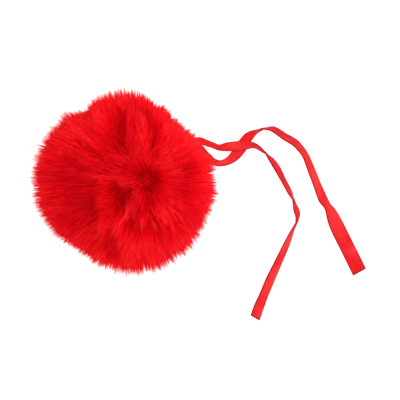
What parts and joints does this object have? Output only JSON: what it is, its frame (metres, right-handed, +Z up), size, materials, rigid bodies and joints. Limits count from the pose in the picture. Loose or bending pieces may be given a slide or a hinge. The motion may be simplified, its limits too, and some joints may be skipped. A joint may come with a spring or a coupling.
{
  "type": "fur pom pom on a ribbon tie",
  "caption": "Round ball of gathered fur with guard hair standing out all over, lying on a surface with the two free tails of its narrow ribbon tie.",
  "frame": {"origin": "on the surface the pom pom lies on, under the middle of the ball", "axes": "+Z up from the surface; +X towards the side the ribbon leaves by and its tails lie on; +Y across"},
  "size_m": [0.1647, 0.1142, 0.0835],
  "materials": {
    "fur": "dyed red fur, soft and matte, dark towards the roots",
    "ribbon": "narrow woven polyester ribbon, dyed red, soft sheen"
  },
  "bodies": {
    "root": {"fur_ball": "fur", "tail_inner": "ribbon", "tail_outer": "ribbon"}
  },
  "joints": []
}
